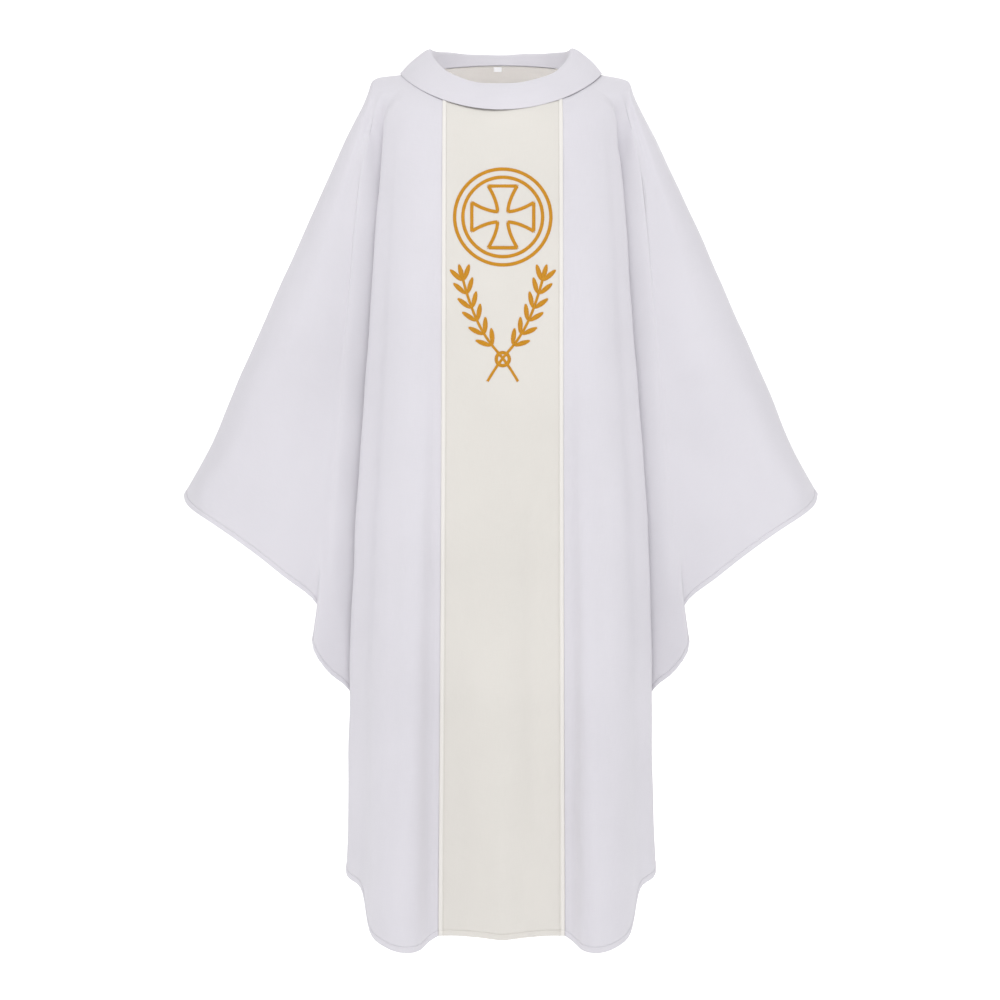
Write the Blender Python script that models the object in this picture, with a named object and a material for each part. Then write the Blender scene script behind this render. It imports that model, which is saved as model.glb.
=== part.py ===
"""Gothic chasuble, as it hangs on a standing wearer whose arms are held a little out from the sides.

Metres, +Z up, the front towards -Y. The origin is the middle of the neck, at the height where the
collar's lower edge meets the shoulders. Left and right are as seen from the front, with +X to the right.

The cloth is one surface that runs from the neck seam out over the shoulders and down to the hem. Rings
go round it and threads run down it. A thread starts at the neck seam, passes under the collar's free
edge, crosses the shoulder ring and hangs to the hem. Below the shoulder ring, a level section of each
half is a smooth curve through one named point for each thread, and those points follow from the sizes
in the tables. The surface is then cut along its seams into panels, each of them a closed wall.
"""

import math
from collections import namedtuple

import bpy
import numpy as np

CLOTH = 0.0016
SEAM_GAP = 0.0003

# Each ring of the neck and collar: half width, reach to the front and back, heights at the front,
# side and back, and how quickly it falls away from the side to the front.
Ring = namedtuple("Ring", "half_width front back z_front z_side z_back bend")
NECK_SEAM = Ring(0.100, 0.080, 0.078, -0.045, 0.006, 0.024, 1.3)
COLLAR_ROLL = Ring(0.107, 0.091, 0.088, -0.0265, 0.0385, 0.0425, 1.05)
COLLAR_EDGE = Ring(0.1525, 0.124, 0.116, -0.066, 0.003, 0.005, 1.5)
UNDER_COLLAR = Ring(0.152, 0.120, 0.112, -0.0695, -0.0010, 0.001, 1.5)

# The orphrey: half its width at the neck, and how much wider each half is at the hem. It sits a little
# off the middle at the chest, by less at the hem, and the cloth beyond OFFSET_FADES doesn't follow it.
ORPHREY_HALF = 0.0865
ORPHREY_FLARE = 0.005
ORPHREY_OFFSET = 0.0045
OFFSET_LOST_AT_HEM = 0.6
OFFSET_FADES = 0.160

# The outer edge of the sleeve from shoulder to wrist, and straight down below the wrist.
ArmLine = namedtuple("ArmLine", "height reach")
ARM_LINE = [
    ArmLine(-0.052, 0.2080),
    ArmLine(-0.085, 0.2255),
    ArmLine(-0.133, 0.2480),
    ArmLine(-0.300, 0.3225),
    ArmLine(-0.487, 0.4050),
    ArmLine(-0.555, 0.4335),
    ArmLine(-0.600, 0.4580),
    ArmLine(-0.628, 0.4745),
    ArmLine(-1.300, 0.4745),
]
ARM_ROUND = 0.060
ROUND_SHARE = 0.55

# Level sections of the front and of the back. edge is the half width of the middle column, middle its
# depth at the centre line, setback how far its edge lies behind that, and sleeve the sleeve's depth.
# fold, ridge and lobe are from 0, none, to 1, full, for the pleat beside the column, for the rounded
# ridge that grows towards the hem, and for the short cascade under the sleeve.
Section = namedtuple("Section", "height edge middle setback sleeve fold ridge lobe")
FRONT = [
    Section(-0.05, 0.1675, 0.112, 0.040, 0.055, 0.12, 0.00, 0.0),
    Section(-0.09, 0.1715, 0.124, 0.043, 0.061, 0.30, 0.01, 0.0),
    Section(-0.14, 0.1760, 0.133, 0.045, 0.068, 0.60, 0.02, 0.0),
    Section(-0.20, 0.1810, 0.138, 0.048, 0.075, 0.84, 0.05, 0.0),
    Section(-0.30, 0.1880, 0.142, 0.050, 0.081, 0.96, 0.10, 0.0),
    Section(-0.45, 0.1990, 0.145, 0.052, 0.084, 1.00, 0.18, 0.0),
    Section(-0.62, 0.2110, 0.147, 0.055, 0.083, 1.00, 0.30, 0.0),
    Section(-0.70, 0.2150, 0.148, 0.057, 0.081, 1.00, 0.38, 0.05),
    Section(-0.79, 0.2185, 0.149, 0.060, 0.080, 1.00, 0.46, 0.5),
    Section(-0.86, 0.2205, 0.150, 0.062, 0.080, 1.00, 0.54, 1.0),
    Section(-0.95, 0.2212, 0.151, 0.066, 0.080, 1.00, 0.64, 1.0),
    Section(-1.10, 0.2232, 0.153, 0.072, 0.080, 1.00, 0.82, 1.0),
    Section(-1.20, 0.2268, 0.154, 0.078, 0.080, 1.00, 0.94, 1.0),
    Section(-1.29, 0.2275, 0.155, 0.082, 0.080, 1.00, 1.00, 1.0),
]
BACK = [
    Section(-0.05, 0.1660, 0.108, 0.030, 0.055, 0.05, 0.00, 0.0),
    Section(-0.09, 0.1700, 0.117, 0.032, 0.060, 0.15, 0.02, 0.0),
    Section(-0.14, 0.1740, 0.123, 0.034, 0.066, 0.35, 0.05, 0.0),
    Section(-0.20, 0.1790, 0.127, 0.038, 0.072, 0.60, 0.10, 0.0),
    Section(-0.30, 0.1860, 0.130, 0.041, 0.078, 0.85, 0.20, 0.0),
    Section(-0.45, 0.1955, 0.133, 0.044, 0.080, 1.00, 0.34, 0.0),
    Section(-0.62, 0.2060, 0.136, 0.047, 0.080, 1.00, 0.48, 0.0),
    Section(-0.70, 0.2100, 0.138, 0.049, 0.078, 1.00, 0.55, 0.05),
    Section(-0.79, 0.2130, 0.140, 0.051, 0.077, 1.00, 0.62, 0.5),
    Section(-0.86, 0.2150, 0.143, 0.053, 0.077, 1.00, 0.68, 1.0),
    Section(-0.95, 0.2165, 0.146, 0.055, 0.077, 1.00, 0.76, 1.0),
    Section(-1.10, 0.2185, 0.150, 0.060, 0.077, 1.00, 0.88, 1.0),
    Section(-1.20, 0.2200, 0.154, 0.064, 0.077, 1.00, 0.95, 1.0),
    Section(-1.29, 0.2210, 0.158, 0.068, 0.077, 1.00, 1.00, 1.0),
]

# Threads of the middle column, between the orphrey's seam (0) and the column's edge (1).
ColumnThread = namedtuple("ColumnThread", "share forward shoulder hem")
FRONT_COLUMN = [
    ColumnThread(0.00, 0.000, -0.125, -1.269),
    ColumnThread(0.10, 0.010, -0.122, -1.276),
    ColumnThread(0.20, 0.045, -0.119, -1.284),
    ColumnThread(0.40, 0.066, -0.114, -1.285),
    ColumnThread(0.60, 0.063, -0.109, -1.276),
    ColumnThread(0.72, 0.046, -0.106, -1.262),
    ColumnThread(0.77, 0.026, -0.104, -1.230),
    ColumnThread(0.84, 0.008, -0.102, -1.203),
    ColumnThread(1.00, 0.000, -0.098, -1.186),
]
BACK_COLUMN = [
    ColumnThread(0.00, 0.000, -0.112, -1.266),
    ColumnThread(0.14, 0.008, -0.110, -1.268),
    ColumnThread(0.30, 0.044, -0.108, -1.272),
    ColumnThread(0.48, 0.054, -0.106, -1.266),
    ColumnThread(0.68, 0.042, -0.103, -1.243),
    ColumnThread(0.84, 0.016, -0.101, -1.215),
    ColumnThread(1.00, 0.000, -0.098, -1.180),
]
COLUMN_POWER = 4

# Threads of the pleat between the column's edge and the sleeve: their place when it is flat, and how
# far they lie beyond and behind the column's edge when it is full.
PleatThread = namedtuple("PleatThread", "share beyond behind shoulder hem")
PLEAT = [
    PleatThread(0.16, -0.0050, 0.0100, -0.096, -1.150),
    PleatThread(0.32, -0.0210, 0.0190, -0.094, -1.085),
    PleatThread(0.46, -0.0345, 0.0290, -0.092, -1.025),
    PleatThread(0.58, -0.0270, 0.0400, -0.090, -0.975),
    PleatThread(0.72, -0.0050, 0.0350, -0.088, -0.930),
    PleatThread(0.86, 0.0130, 0.0230, -0.086, -0.908),
    PleatThread(1.00, 0.0320, 0.0120, -0.084, -0.893),
]
FLAT_PLEAT = 0.012
FULL_PLEAT = 0.030

# Threads of the sleeve, between the pleat (0) and the round over the arm (1), and what the lobe adds.
SleeveThread = namedtuple("SleeveThread", "share lobe_out lobe_forward shoulder hem")
SLEEVE = [
    SleeveThread(0.04, 0.0125, 0.006, -0.083, -0.868),
    SleeveThread(0.08, 0.0130, 0.004, -0.082, -0.845),
    SleeveThread(0.13, -0.009, -0.010, -0.080, -0.806),
    SleeveThread(0.23, -0.016, -0.012, -0.078, -0.780),
    SleeveThread(0.50, 0.000, 0.000, -0.074, -0.741),
    SleeveThread(0.80, 0.000, 0.000, -0.070, -0.703),
]
SLEEVE_LEVELS_BY = 0.5
# Threads on the round over the arm, by their angle from the sleeve's front to its outer edge.
RoundThread = namedtuple("RoundThread", "angle shoulder hem")
ARM_THREADS = [
    RoundThread(8, -0.066, -0.674),
    RoundThread(34, -0.062, -0.658),
    RoundThread(58, -0.057, -0.645),
    RoundThread(76, -0.054, -0.634),
    RoundThread(90, -0.052, -0.628),
]
CENTRE_SHOULDER = {"front": -0.128, "back": -0.114}
CENTRE_HEM = {"front": -1.275, "back": -1.266}

PLACING_HEIGHT = -0.62
THREAD_SPACING = 0.022
YOKE_ROWS = (0.0, 0.25, 0.48, 0.66, 0.84)
# How the cloth turns over the shoulder: the first value at the middle, the second at the shoulder.
YOKE_TURN = (0.60, 0.10)
YOKE_FULLNESS = (1.10, 2.10)
NECK_SPREAD = 0.75
SLOPE_STEP = 0.004
HANG_ROWS = 14

COLLAR_STEPS = 52
COLLAR_WALL = 0.0020
STAND_SHARES = (0.0, 0.5)
ROLL_RADIUS = 0.0042
ROLL_ANGLES = (0, 40, 80, 115)
FALL_SHARES = (0.34, 0.67, 1.0)
FALL_FULLNESS = 0.004
FOOT_CLEARANCE = 0.0004
# The size tag, and how far it hangs beside the middle, in front of the neck seam and below it.
TAG = {"width": 0.012, "height": 0.0075, "wall": 0.0008, "beside": -0.005, "ahead": 0.006, "below": 0.002}

SHARP_ANGLE = 50
Finish = namedtuple("Finish", "name colour roughness")
WHITE_CREPE = Finish("white_crepe", (0.78, 0.765, 0.81), 0.85)
CREAM_CREPE = Finish("cream_crepe", (0.80, 0.775, 0.72), 0.80)
TAG_TAPE = Finish("tag_tape", (0.86, 0.86, 0.86), 0.70)


def smooth_through(knots, values, at):
    """A smooth curve through the values, with no overshoot between them."""
    knots = np.asarray(knots, float)
    values = np.asarray(values, float)
    gaps = np.diff(knots)
    slopes = np.diff(values) / gaps
    turns = np.zeros_like(values)
    same_way = slopes[:-1] * slopes[1:] > 0
    before = 2 * gaps[1:] + gaps[:-1]
    after = gaps[1:] + 2 * gaps[:-1]
    with np.errstate(divide="ignore", invalid="ignore"):
        mean = (before + after) / (before / slopes[:-1] + after / slopes[1:])
    turns[1:-1] = np.where(same_way, mean, 0.0)
    turns[0] = slopes[0]
    turns[-1] = slopes[-1]
    at = np.clip(at, knots[0], knots[-1])
    i = np.clip(np.searchsorted(knots, at) - 1, 0, len(gaps) - 1)
    t = (at - knots[i]) / gaps[i]
    start = values[i] * (1 + 2 * t) * (1 - t) ** 2 + gaps[i] * turns[i] * t * (1 - t) ** 2
    end = values[i + 1] * t**2 * (3 - 2 * t) + gaps[i] * turns[i + 1] * t**2 * (t - 1)
    return start + end


def curve_through(knots, points, at):
    """A natural cubic curve through the points, for outlines that turn back on themselves."""
    knots = np.asarray(knots, float)
    points = np.asarray(points, float)
    gaps = np.diff(knots)
    count = len(knots)
    system = np.eye(count)
    right = np.zeros_like(points)
    for k in range(1, count - 1):
        system[k, k - 1 : k + 2] = gaps[k - 1], 2 * (gaps[k - 1] + gaps[k]), gaps[k]
        change = (points[k + 1] - points[k]) / gaps[k] - (points[k] - points[k - 1]) / gaps[k - 1]
        right[k] = 6 * change
    bends = np.linalg.solve(system, right)
    i = np.clip(np.searchsorted(knots, at) - 1, 0, count - 2)
    left = (at - knots[i])[:, None]
    rest = (knots[i + 1] - at)[:, None]
    gap = gaps[i][:, None]
    curved = (bends[i] * rest**3 + bends[i + 1] * left**3) / (6 * gap)
    first = (points[i] / gap - bends[i] * gap / 6) * rest
    last = (points[i + 1] / gap - bends[i + 1] * gap / 6) * left
    return curved + first + last


def lengths_along(points):
    """The distance of each point from the first, along the straight pieces between them."""
    return np.concatenate([[0], np.cumsum(np.linalg.norm(np.diff(points, axis=0), axis=1))])


def read_table(table, column, height):
    """A column of a table of rows that go down in height, read smoothly between its rows."""
    rows = list(reversed(table))
    heights = [row.height for row in rows]
    return smooth_through(heights, [getattr(row, column) for row in rows], height)


def ring_point(ring, angle):
    """A point of a neck or collar ring. The angle is 0 at the front, 90 at the side, 180 at the back."""
    across = math.sin(math.radians(angle))
    ahead = math.cos(math.radians(angle))
    reach, level = (ring.front, ring.z_front) if ahead >= 0 else (ring.back, ring.z_back)
    fall = abs(ahead) ** ring.bend
    height = ring.z_side + (level - ring.z_side) * fall
    return np.array([ring.half_width * across, -reach * ahead, height])


class Half:
    """The front or the back of the cloth, on the side where x is positive."""

    def __init__(self, name, sections, column):
        self.name = name
        self.sections = sections
        self.column = column
        self.away = -1 if name == "front" else 1
        rows = [*column, *PLEAT, *SLEEVE, *ARM_THREADS]
        self.shoulder = np.array([CENTRE_SHOULDER[name], *(row.shoulder for row in rows)])
        self.hem = np.array([CENTRE_HEM[name], *(row.hem for row in rows)])
        self.places = lengths_along(self.section(PLACING_HEIGHT))

    def section(self, height):
        """One point for each thread at this height: distance from the centre line, and depth."""
        edge, middle, setback, sleeve, fold, ridge, lobe = (
            float(read_table(self.sections, name, height)) for name in Section._fields[1:]
        )
        reach = float(read_table(ARM_LINE, "reach", height))
        seam = ORPHREY_HALF + ORPHREY_FLARE * ridge
        points = [(0.0, middle)]
        for thread in self.column:
            x = seam + thread.share * (edge - seam)
            depth = middle - setback * (x / edge) ** COLUMN_POWER
            points.append((x, depth + thread.forward * ridge))
        edge_depth = middle - setback
        width = FLAT_PLEAT + (FULL_PLEAT - FLAT_PLEAT) * fold
        round_size = min(ARM_ROUND, ROUND_SHARE * (reach - edge - width))
        stop = reach - round_size
        for thread in PLEAT:
            flat_x = edge + thread.share * width
            flat_depth = edge_depth + (sleeve - edge_depth) * thread.share
            x = flat_x + fold * (edge + thread.beyond - flat_x)
            depth = flat_depth + fold * (edge_depth - thread.behind - flat_depth)
            points.append((x, depth))
        start, last_depth = points[-1]
        for thread in SLEEVE:
            x = start + thread.share * (stop - start) + thread.lobe_out * lobe
            depth = last_depth + (sleeve - last_depth) * min(1.0, thread.share / SLEEVE_LEVELS_BY)
            points.append((x, depth + thread.lobe_forward * lobe))
        for thread in ARM_THREADS:
            angle = math.radians(thread.angle)
            points.append((stop + round_size * math.sin(angle), sleeve * math.cos(angle)))
        return np.array(points)

    def hang(self, place, height):
        """A point of the hanging cloth, by its thread's place and its height."""
        section = self.section(height)
        knots = lengths_along(section)
        at = np.interp(place, self.places, knots)
        x, depth = curve_through(knots, section, np.array([at]))[0]
        return np.array([max(x, 0.0), self.away * depth, height])

    def seam_place(self):
        return self.places[1]

    def last_place(self):
        return self.places[-1]

    def neck_angles(self, place):
        """Where a thread leaves the neck seam and where it passes under the collar's free edge."""
        seam_at_neck = math.degrees(math.asin(ORPHREY_HALF / NECK_SEAM.half_width))
        seam_at_edge = math.degrees(math.asin(ORPHREY_HALF / UNDER_COLLAR.half_width))
        if place <= self.seam_place():
            share = place / self.seam_place()
            x = share * ORPHREY_HALF
            at_neck = math.degrees(math.asin(x / NECK_SEAM.half_width))
            at_edge = math.degrees(math.asin(x / UNDER_COLLAR.half_width))
        else:
            share = (place - self.seam_place()) / (self.last_place() - self.seam_place())
            at_neck = seam_at_neck + (90 - seam_at_neck) * share**NECK_SPREAD
            at_edge = seam_at_edge + (90 - seam_at_edge) * share**NECK_SPREAD
        if self.name == "back":
            return 180 - at_neck, 180 - at_edge
        return at_neck, at_edge

    def thread(self, place):
        """All the points of one thread, from the neck seam to the hem."""
        shoulder = float(smooth_through(self.places, self.shoulder, place))
        hem = float(smooth_through(self.places, self.hem, place))
        at_neck, at_edge = self.neck_angles(place)
        neck = ring_point(NECK_SEAM, at_neck)
        under = ring_point(UNDER_COLLAR, at_edge)
        top = self.hang(place, shoulder)
        below = self.hang(place, shoulder - SLOPE_STEP)
        down = (below - top) / np.linalg.norm(below - top)
        side = math.sin(math.radians(at_edge)) ** 2
        yoke = yoke_curve(neck, under, top, down, side)
        heights = np.linspace(shoulder, hem, HANG_ROWS + 1)
        return np.array([yoke(t) for t in YOKE_ROWS] + [self.hang(place, z) for z in heights])


def yoke_curve(neck, under, top, down, side):
    """The stretch over the shoulder: from the neck seam, under the collar's edge, to the shoulder ring."""
    first = np.linalg.norm(under - neck)
    second = np.linalg.norm(top - under)
    middle = first / (first + second)
    leaving = (under - neck) / first
    turn = YOKE_TURN[0] + (YOKE_TURN[1] - YOKE_TURN[0]) * side
    fullness = YOKE_FULLNESS[0] + (YOKE_FULLNESS[1] - YOKE_FULLNESS[0]) * side
    through = (1 - turn) * leaving + turn * (top - under) / second
    through /= np.linalg.norm(through)

    def hermite(a, b, leave, arrive, length, t):
        bump = a * (1 + 2 * t) * (1 - t) ** 2 + b * t**2 * (3 - 2 * t)
        return bump + length * (leave * t * (1 - t) ** 2 + arrive * t**2 * (t - 1))

    def at(t):
        if t <= middle:
            return hermite(neck, under, leaving, through, first, t / middle)
        return hermite(under, top, through, down, fullness * second, (t - middle) / (1 - middle))

    return at


def half_places(half):
    """The places of the mesh's threads: every named thread, and more between those that lie far apart."""
    places = []
    for here, there in zip(half.places, half.places[1:]):
        steps = max(1, round((there - here) / THREAD_SPACING))
        places += list(np.linspace(here, there, steps + 1)[:-1])
    return np.array(places + [half.last_place()])


def whole_cloth(front, back):
    """The surface as an array of threads by rows by xyz, going round from the front's centre line."""
    mirror = np.array([-1.0, 1.0, 1.0])
    ahead = [front.thread(place) for place in half_places(front)]
    behind = [back.thread(place) for place in half_places(back)]
    right = ahead + behind[-2::-1]
    left = [thread * mirror for thread in right[-2:0:-1]]
    return beside_the_middle(np.array(right + left))


def beside_the_middle(cloth):
    """Shifts the front's orphrey off the middle, most at the chest and not at all by the sleeves."""
    x, y, z = np.moveaxis(cloth, 2, 0)
    across = np.clip(1 - (x / OFFSET_FADES) ** 2, 0, 1) ** 2
    in_front = np.clip(-y / NECK_SEAM.front, 0, 1)
    down = np.clip(z / CENTRE_HEM["front"], 0, 1)
    cloth[:, :, 0] += ORPHREY_OFFSET * across * in_front * (1 - OFFSET_LOST_AT_HEM * down**2)
    return cloth


def wall_normals(cloth):
    """Outward normals of a surface that closes round on itself."""
    round_it = np.roll(cloth, -1, axis=0) - np.roll(cloth, 1, axis=0)
    down_it = np.gradient(cloth, axis=1)
    normals = np.cross(down_it, round_it)
    return normals / np.linalg.norm(normals, axis=2, keepdims=True)


def panel_wall(cloth, normals, first, last):
    """The vertices and faces of a panel: the threads from first to last, as a closed wall."""
    columns = np.arange(first, last + 1) % len(cloth)
    middle = cloth[columns].copy()
    outward = normals[columns]
    for side, neighbour in ((0, 1), (-1, -2)):
        inwards = middle[neighbour] - middle[side]
        inwards /= np.linalg.norm(inwards, axis=1, keepdims=True)
        middle[side] += inwards * SEAM_GAP / 2
    return wall_mesh(middle + outward * CLOTH / 2, middle - outward * CLOTH / 2)


def wall_mesh(outside, inside):
    """Joins an outer and an inner grid of points into one closed wall of triangles.

    Each square is split along its shorter diagonal, the same one on both faces of the wall.
    """
    across, down = outside.shape[:2]
    points = np.concatenate([outside.reshape(-1, 3), inside.reshape(-1, 3)])
    half = across * down
    outer = np.arange(half).reshape(across, down)
    faces = []
    for i in range(across - 1):
        for j in range(down - 1):
            a, b, c, d = outer[i, j], outer[i, j + 1], outer[i + 1, j + 1], outer[i + 1, j]
            first = np.linalg.norm(points[a] - points[c]) <= np.linalg.norm(points[b] - points[d])
            pair = ((a, b, c), (a, c, d)) if first else ((a, b, d), (b, c, d))
            faces += pair
            faces += [tuple(v + half for v in reversed(face)) for face in pair]
    rim = [(i, 0) for i in range(across - 1)]
    rim += [(across - 1, j) for j in range(down - 1)]
    rim += [(i, down - 1) for i in range(across - 1, 0, -1)]
    rim += [(0, j) for j in range(down - 1, 0, -1)]
    for here, there in zip(rim, rim[1:] + rim[:1]):
        a, b = outer[here], outer[there]
        faces += [(a, b, b + half), (a, b + half, a + half)]
    return points, faces


def add_node(name, points, faces, material):
    mesh = bpy.data.meshes.new(name)
    mesh.from_pydata([tuple(p) for p in points], [], [[int(v) for v in face] for face in faces])
    mesh.materials.append(material)
    mesh.shade_smooth()
    mesh.set_sharp_from_angle(angle=math.radians(SHARP_ANGLE))
    mesh.update()
    node = bpy.data.objects.new(name, mesh)
    bpy.context.scene.collection.objects.link(node)
    return node


def cloth_material(finish):
    material = bpy.data.materials.new(finish.name)
    material.use_nodes = True
    shader = material.node_tree.nodes["Principled BSDF"]
    shader.inputs["Base Color"].default_value = (*finish.colour, 1)
    shader.inputs["Roughness"].default_value = finish.roughness
    shader.inputs["Metallic"].default_value = 0
    return material


def add_panels(white, cream):
    """Cuts the cloth along its seams: down each side of both orphreys, and along both shoulders."""
    front = Half("front", FRONT, FRONT_COLUMN)
    back = Half("back", BACK, BACK_COLUMN)
    cloth = whole_cloth(front, back)
    normals = wall_normals(cloth)
    ahead = half_places(front)
    behind = half_places(back)
    seam = int(np.argmin(abs(ahead - front.seam_place())))
    back_seam = int(np.argmin(abs(behind - back.seam_place())))
    shoulder = len(ahead) - 1
    back_middle = shoulder + len(behind) - 1
    panels = (
        ("front_orphrey", -seam, seam, cream),
        ("front_panel_right", seam, shoulder, white),
        ("back_panel_right", shoulder, back_middle - back_seam, white),
        ("back_orphrey", back_middle - back_seam, back_middle + back_seam, cream),
        ("back_panel_left", back_middle + back_seam, len(cloth) - shoulder, white),
        ("front_panel_left", len(cloth) - shoulder, len(cloth) - seam, white),
    )
    for name, first, last, material in panels:
        points, faces = panel_wall(cloth, normals, first, last)
        add_node(name, points, faces, material)


def collar_profile(angle):
    """The collar's middle line at one angle: up the stand, over the roll and down the fall."""
    seam = ring_point(NECK_SEAM, angle)
    roll = ring_point(COLLAR_ROLL, angle)
    edge = ring_point(COLLAR_EDGE, angle)
    outward = np.array([math.sin(math.radians(angle)), -math.cos(math.radians(angle)), 0.0])
    up = np.array([0.0, 0.0, 1.0])
    foot = seam + up * (CLOTH / 2 + SEAM_GAP + FOOT_CLEARANCE)
    centre = roll - up * ROLL_RADIUS
    turns = np.radians(ROLL_ANGLES)
    over = [centre + ROLL_RADIUS * (up * math.sin(turn) - outward * math.cos(turn)) for turn in turns]
    fall = []
    for share in FALL_SHARES:
        full = FALL_FULLNESS * math.sin(math.pi * share)
        fall.append(over[-1] + (edge - over[-1]) * share + outward * full)
    stand = [foot + (over[0] - foot) * share for share in STAND_SHARES]
    return np.array(stand + over + fall)


def add_collar(white):
    """The rolled collar: one wall that goes all the way round."""
    angles = np.arange(COLLAR_STEPS) * 360 / COLLAR_STEPS
    middle = []
    for angle in angles:
        folded = angle if angle <= 180 else 360 - angle
        line = collar_profile(folded)
        if angle > 180:
            line = line * np.array([-1.0, 1.0, 1.0])
        middle.append(line)
    middle = np.array(middle)
    outward = wall_normals(middle)
    outside = middle + outward * COLLAR_WALL / 2
    inside = middle - outward * COLLAR_WALL / 2
    loop = np.concatenate([outside, inside[:, ::-1]], axis=1)
    across, around = loop.shape[:2]
    index = np.arange(across * around).reshape(across, around)
    faces = []
    for i in range(across):
        for j in range(around):
            k = (i + 1) % across
            m = (j + 1) % around
            faces.append([index[i, j], index[i, m], index[k, m], index[k, j]])
    add_node("collar", loop.reshape(-1, 3), faces, white)


def add_size_tag(material):
    """A blank woven tag that hangs inside the back of the neck, from the neck seam."""
    seam = ring_point(NECK_SEAM, 180)
    half = TAG["width"] / 2
    y = seam[1] - TAG["ahead"]
    high = seam[2] - TAG["below"]
    low = high - TAG["height"]
    left, right = TAG["beside"] - half, TAG["beside"] + half
    corners = [(x, y + dy, z) for z in (low, high) for dy in (0, TAG["wall"]) for x in (left, right)]
    faces = [(0, 2, 3, 1), (4, 5, 7, 6), (0, 1, 5, 4), (2, 6, 7, 3), (0, 4, 6, 2), (1, 3, 7, 5)]
    add_node("size_tag", corners, faces, material)


def main():
    for thing in list(bpy.data.objects):
        bpy.data.objects.remove(thing)
    white = cloth_material(WHITE_CREPE)
    cream = cloth_material(CREAM_CREPE)
    add_panels(white, cream)
    add_collar(white)
    add_size_tag(cloth_material(TAG_TAPE))


main()
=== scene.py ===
"""The finish of a white chasuble: its cloth, seams and hems, its rolled collar and its gold embroidery.

Metres, +Z up, the front towards -Y. Each piece of cloth takes its form from its own node of the frame.
The node's outer side is read as threads that run down and rows that run across them. It is then made
smooth, and is given its creases, its hem and a real thickness.
"""

import math
from collections import namedtuple

import bmesh
import bpy
import numpy as np
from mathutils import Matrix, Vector
from mathutils.bvhtree import BVHTree
from mathutils.kdtree import KDTree


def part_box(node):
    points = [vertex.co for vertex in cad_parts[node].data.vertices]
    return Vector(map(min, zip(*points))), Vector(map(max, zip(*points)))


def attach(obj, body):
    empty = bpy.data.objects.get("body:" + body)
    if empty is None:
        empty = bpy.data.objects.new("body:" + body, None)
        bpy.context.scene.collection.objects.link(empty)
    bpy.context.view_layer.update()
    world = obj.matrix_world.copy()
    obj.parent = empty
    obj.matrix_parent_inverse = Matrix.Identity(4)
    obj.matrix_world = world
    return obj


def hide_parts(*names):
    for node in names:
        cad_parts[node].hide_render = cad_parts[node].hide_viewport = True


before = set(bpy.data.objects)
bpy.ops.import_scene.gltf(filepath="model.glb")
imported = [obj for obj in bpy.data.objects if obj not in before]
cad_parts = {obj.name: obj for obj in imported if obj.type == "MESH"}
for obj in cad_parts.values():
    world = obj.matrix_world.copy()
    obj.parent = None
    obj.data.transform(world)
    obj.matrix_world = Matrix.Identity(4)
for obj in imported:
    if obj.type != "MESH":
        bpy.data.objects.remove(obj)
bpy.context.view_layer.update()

# The nodes' wall and seams, and the cloth that takes their place.
WALL = 0.0016
WALL_TOLERANCE = 0.01
SEAM_GAP = 0.0003
MERGE_DISTANCE = 1e-5
CLOTH = 0.0009
COLLAR_CLOTH = 0.0017
GRAIN = 0.0056
DENSE_ROWS = 360
FEWEST_THREADS = 8
THINNEST = 0.0004
NEAR_SEAM = (0.0, 0.0007, 0.0016, 0.0032)
AFTER_SEAM = 0.0055
# A piece is a panel if its middle is further off the garment's middle than this share of its reach.
PANEL_OFF_MIDDLE = 0.125

# The collar: its node's steps round the neck, the finer mesh's steps and rows, and the rows at its free
# edge, which is rounded and keeps a least share of the thickness, squared. Steps at the join are repeated.
COLLAR_STEPS = 52
COLLAR_FINE_STEPS = 312
COLLAR_ROWS = 46
COLLAR_ROWS_END = 0.004
COLLAR_EDGE_ROWS = (0.0025, 0.0013, 0.0006, 0.0)
COLLAR_ROUND = 0.0013
COLLAR_EDGE_SHARE = 0.04
ROUND_AGAIN = 6
# Slight waves run round it, and its edge lies down: by how much, and over how far.
RoundWave = namedtuple("RoundWave", "count start height")
COLLAR_WAVES = [RoundWave(5, 0.6, 0.0007), RoundWave(11, 2.0, 0.0005)]
COLLAR_LIES_AT_SIDE = 0.0020
COLLAR_LIES_AT_MIDDLE = 0.0033
COLLAR_LYING = 0.030

# The hem, turned in twice and stitched. Rows of the mesh are given by their distance from the edge.
HEM = 0.0085
HEM_ROWS = (0.014, 0.0115, 0.0098, 0.0090, 0.0085, 0.0080, 0.0070, 0.0045, 0.0020, 0.0008, 0.0003, 0.0)
# The cloth steps up to it, has a groove along its stitches, and is rounded at its edge.
HEM_RISE = 0.0005
HEM_STEP = 0.0015
HEM_STEP_STARTS = 0.3
HEM_THICKER = 1.6
HEM_GROOVE = 0.0005
HEM_GROOVE_WIDTH = 0.0006
HEM_STITCH_LIFT = 0.0001
EDGE_ROUND = 0.0009
EDGE_THINNER = 0.8

# The seams: how deep the cloth dips into them, and how wide that dip is.
SEAM_DIP = 0.0008
SEAM_DIP_WIDTH = 0.0022
# Creases and waves fade out over these distances from a side edge and from the neck.
FADE_AT_SIDE = 0.02
FADE_AT_NECK = 0.05

# The rolled edging on both sides of the orphreys, a flattened half round with short sides.
EDGING_WIDTH = 0.0058
EDGING_HEIGHT = 0.0011
EDGING_OVERLAP = 0.0006
EDGING_SECTION = 9
EDGING_FULLNESS = 0.8
EDGING_SIDE = (-0.25, 0.1)
EDGING_ROUND = 1.4
EDGING_STITCHES = 0.0072

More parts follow.
